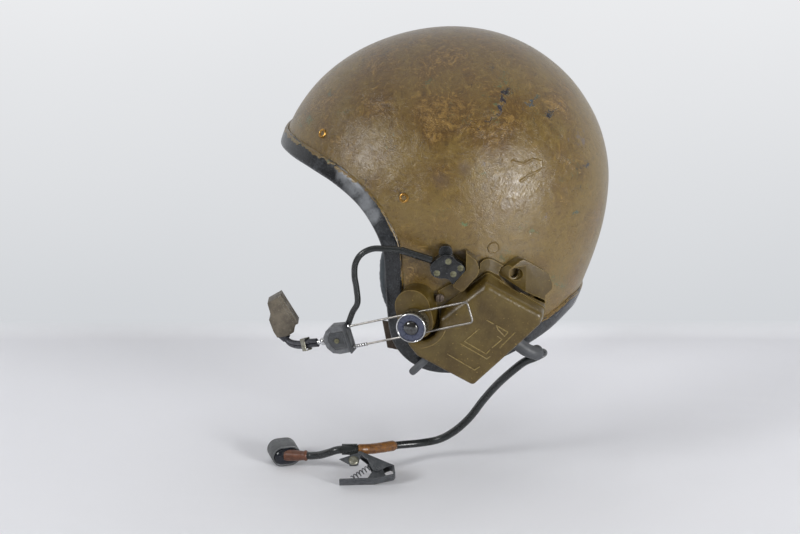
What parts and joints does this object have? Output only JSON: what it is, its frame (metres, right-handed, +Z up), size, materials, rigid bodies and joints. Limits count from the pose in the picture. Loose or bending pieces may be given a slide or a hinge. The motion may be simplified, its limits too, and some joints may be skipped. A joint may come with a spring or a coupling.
{
  "type": "crew helmet",
  "caption": "Open-face hard-shell crew helmet with ear cushions, a side communication box, a sliding wire microphone boom and a short lead with clothing clip and connector.",
  "frame": {"origin": "centre of the head space at ear level, where the wearer's head holds the helmet", "axes": "+X to the wearer's left, where the box and boom are; +Y to the back; +Z up"},
  "size_m": [0.2726, 0.2878, 0.3666],
  "materials": {
    "shell_paint": "olive-brown paint brushed over a laminated shell, scratched and chipped",
    "rivet_brass": "worn brass under paint",
    "edge_rubber": "matt black rubber with paint overspray",
    "liner_foam": "rigid energy-absorbing foam",
    "pad_leather": "dark leather over soft foam",
    "cup_plastic": "moulded dark plastic",
    "cushion_vinyl": "soft grey-blue leathercloth",
    "backing_foam": "felt-covered spacer",
    "webbing": "woven strap",
    "box_paint": "olive-brown paint on a light alloy casting",
    "gasket_rubber": "black rubber",
    "screw_steel": "steel screws, dull",
    "plug_plastic": "moulded black plastic",
    "elbow_rubber": "grey rubber",
    "cord_rubber": "grey-black rubber sheath",
    "sleeve_rubber": "red-brown rubber sleeve",
    "clamp_metal": "die-cast, grey",
    "knob_metal": "ribbed knob, dull",
    "bright_metal": "bright plated steel",
    "face_enamel": "dark blue-black disc",
    "block_plastic": "moulded grey plastic",
    "mic_plastic": "grey moulded plastic",
    "clip_steel": "blackened spring steel",
    "con_metal": "grey anodised shell",
    "con_insert": "black moulded insert",
    "pin_gold": "contact pins"
  },
  "bodies": {
    "helmet": {"shell": "shell_paint", "shell_rivets": "rivet_brass", "edge_trim": "edge_rubber", "impact_liner": "liner_foam", "crown_pad": "pad_leather", "brow_pad": "pad_leather", "nape_pad": "pad_leather", "ear_cup_left": "cup_plastic", "ear_cup_right": "cup_plastic", "ear_cushion_left": "cushion_vinyl", "ear_cushion_right": "cushion_vinyl", "earphone_left": "cup_plastic", "earphone_right": "cup_plastic", "ear_backing_left": "backing_foam", "ear_backing_right": "backing_foam", "chin_strap_left": "webbing", "chin_strap_right": "webbing", "housing_base": "box_paint", "housing_cover": "box_paint", "cover_gasket": "gasket_rubber", "box_screws": "screw_steel", "lug_screw": "screw_steel", "rear_bracket": "box_paint", "socket_block": "box_paint", "mic_plug_body": "plug_plastic", "mic_plug_screws": "screw_steel", "mic_plug_boot": "cord_rubber", "lead_elbow": "elbow_rubber", "blank_boot": "elbow_rubber", "pivot_post": "screw_steel", "friction_washer": "screw_steel", "mic_lead_upper": "cord_rubber", "main_lead": "cord_rubber", "clip_band": "clip_steel", "clip_rivet": "screw_steel", "connector_shroud": "con_metal", "connector_body": "con_insert", "connector_pins": "pin_gold", "connector_sleeve": "sleeve_rubber"},
    "swing_arm": {"boom_clamp": "clamp_metal"},
    "knob_set": {"knob": "knob_metal", "knob_ring": "bright_metal", "knob_face": "face_enamel", "knob_dome": "bright_metal"},
    "boom": {"boom_wire": "bright_metal", "boom_block": "block_plastic", "block_flange": "plug_plastic", "block_screw": "bright_metal", "wire_collars": "bright_metal", "mic_lead_lower": "cord_rubber"},
    "ball": {"mic_ball": "bright_metal"},
    "microphone": {"mic_stem": "face_enamel", "mic_clip_band": "screw_steel", "mic_boot": "elbow_rubber", "mic_body": "mic_plastic", "mic_plate": "mic_plastic"},
    "clip": {"clip_arm": "clip_steel", "clip_pin": "screw_steel"},
    "clip_lever": {"clip_jaw": "clip_steel", "clip_spring": "clip_steel"}
  },
  "joints": [
    {"name": "boom_swing", "type": "hinge", "parent": "helmet", "child": "swing_arm", "pos_m": [0.13859, -0.0225, -0.0382], "axis": [0.9659, -0.2588, 0], "range_deg": [-38, 35], "deforming": ["mic_lead_upper"]},
    {"name": "boom_slide", "type": "slide", "parent": "swing_arm", "child": "boom", "axis": [0.2475, 0.9237, 0.2924], "range_m": [-0.024, 0.02], "deforming": ["mic_lead_lower"]},
    {"name": "knob_turn", "type": "hinge", "parent": "helmet", "child": "knob_set", "pos_m": [0.13859, -0.0225, -0.0382], "axis": [0.9659, -0.2588, 0], "range_deg": [0, 360]},
    {"name": "mic_tilt", "type": "hinge", "parent": "boom", "child": "ball", "pos_m": [0.11937, -0.09422, -0.06007], "axis": [0.9659, -0.2588, 0], "range_deg": [-20, 20]},
    {"name": "mic_roll", "type": "hinge", "parent": "ball", "child": "microphone", "pos_m": [0.11937, -0.09422, -0.06007], "axis": [0.2475, 0.9237, 0.2924], "range_deg": [-40, 40]},
    {"name": "clip_swivel", "type": "hinge", "parent": "helmet", "child": "clip", "pos_m": [0.07993, -0.0722, -0.18064], "axis": [0.6428, 0, 0.766], "range_deg": [-28, 3]},
    {"name": "clip_open", "type": "hinge", "parent": "clip", "child": "clip_lever", "pos_m": [0.0826, -0.052, -0.18836], "axis": [-0.6428, 0, -0.766], "range_deg": [0, 15], "stiffness_Nm_per_rad": 0.05, "springref_deg": -17.19, "deforming": ["clip_spring"]}
  ]
}
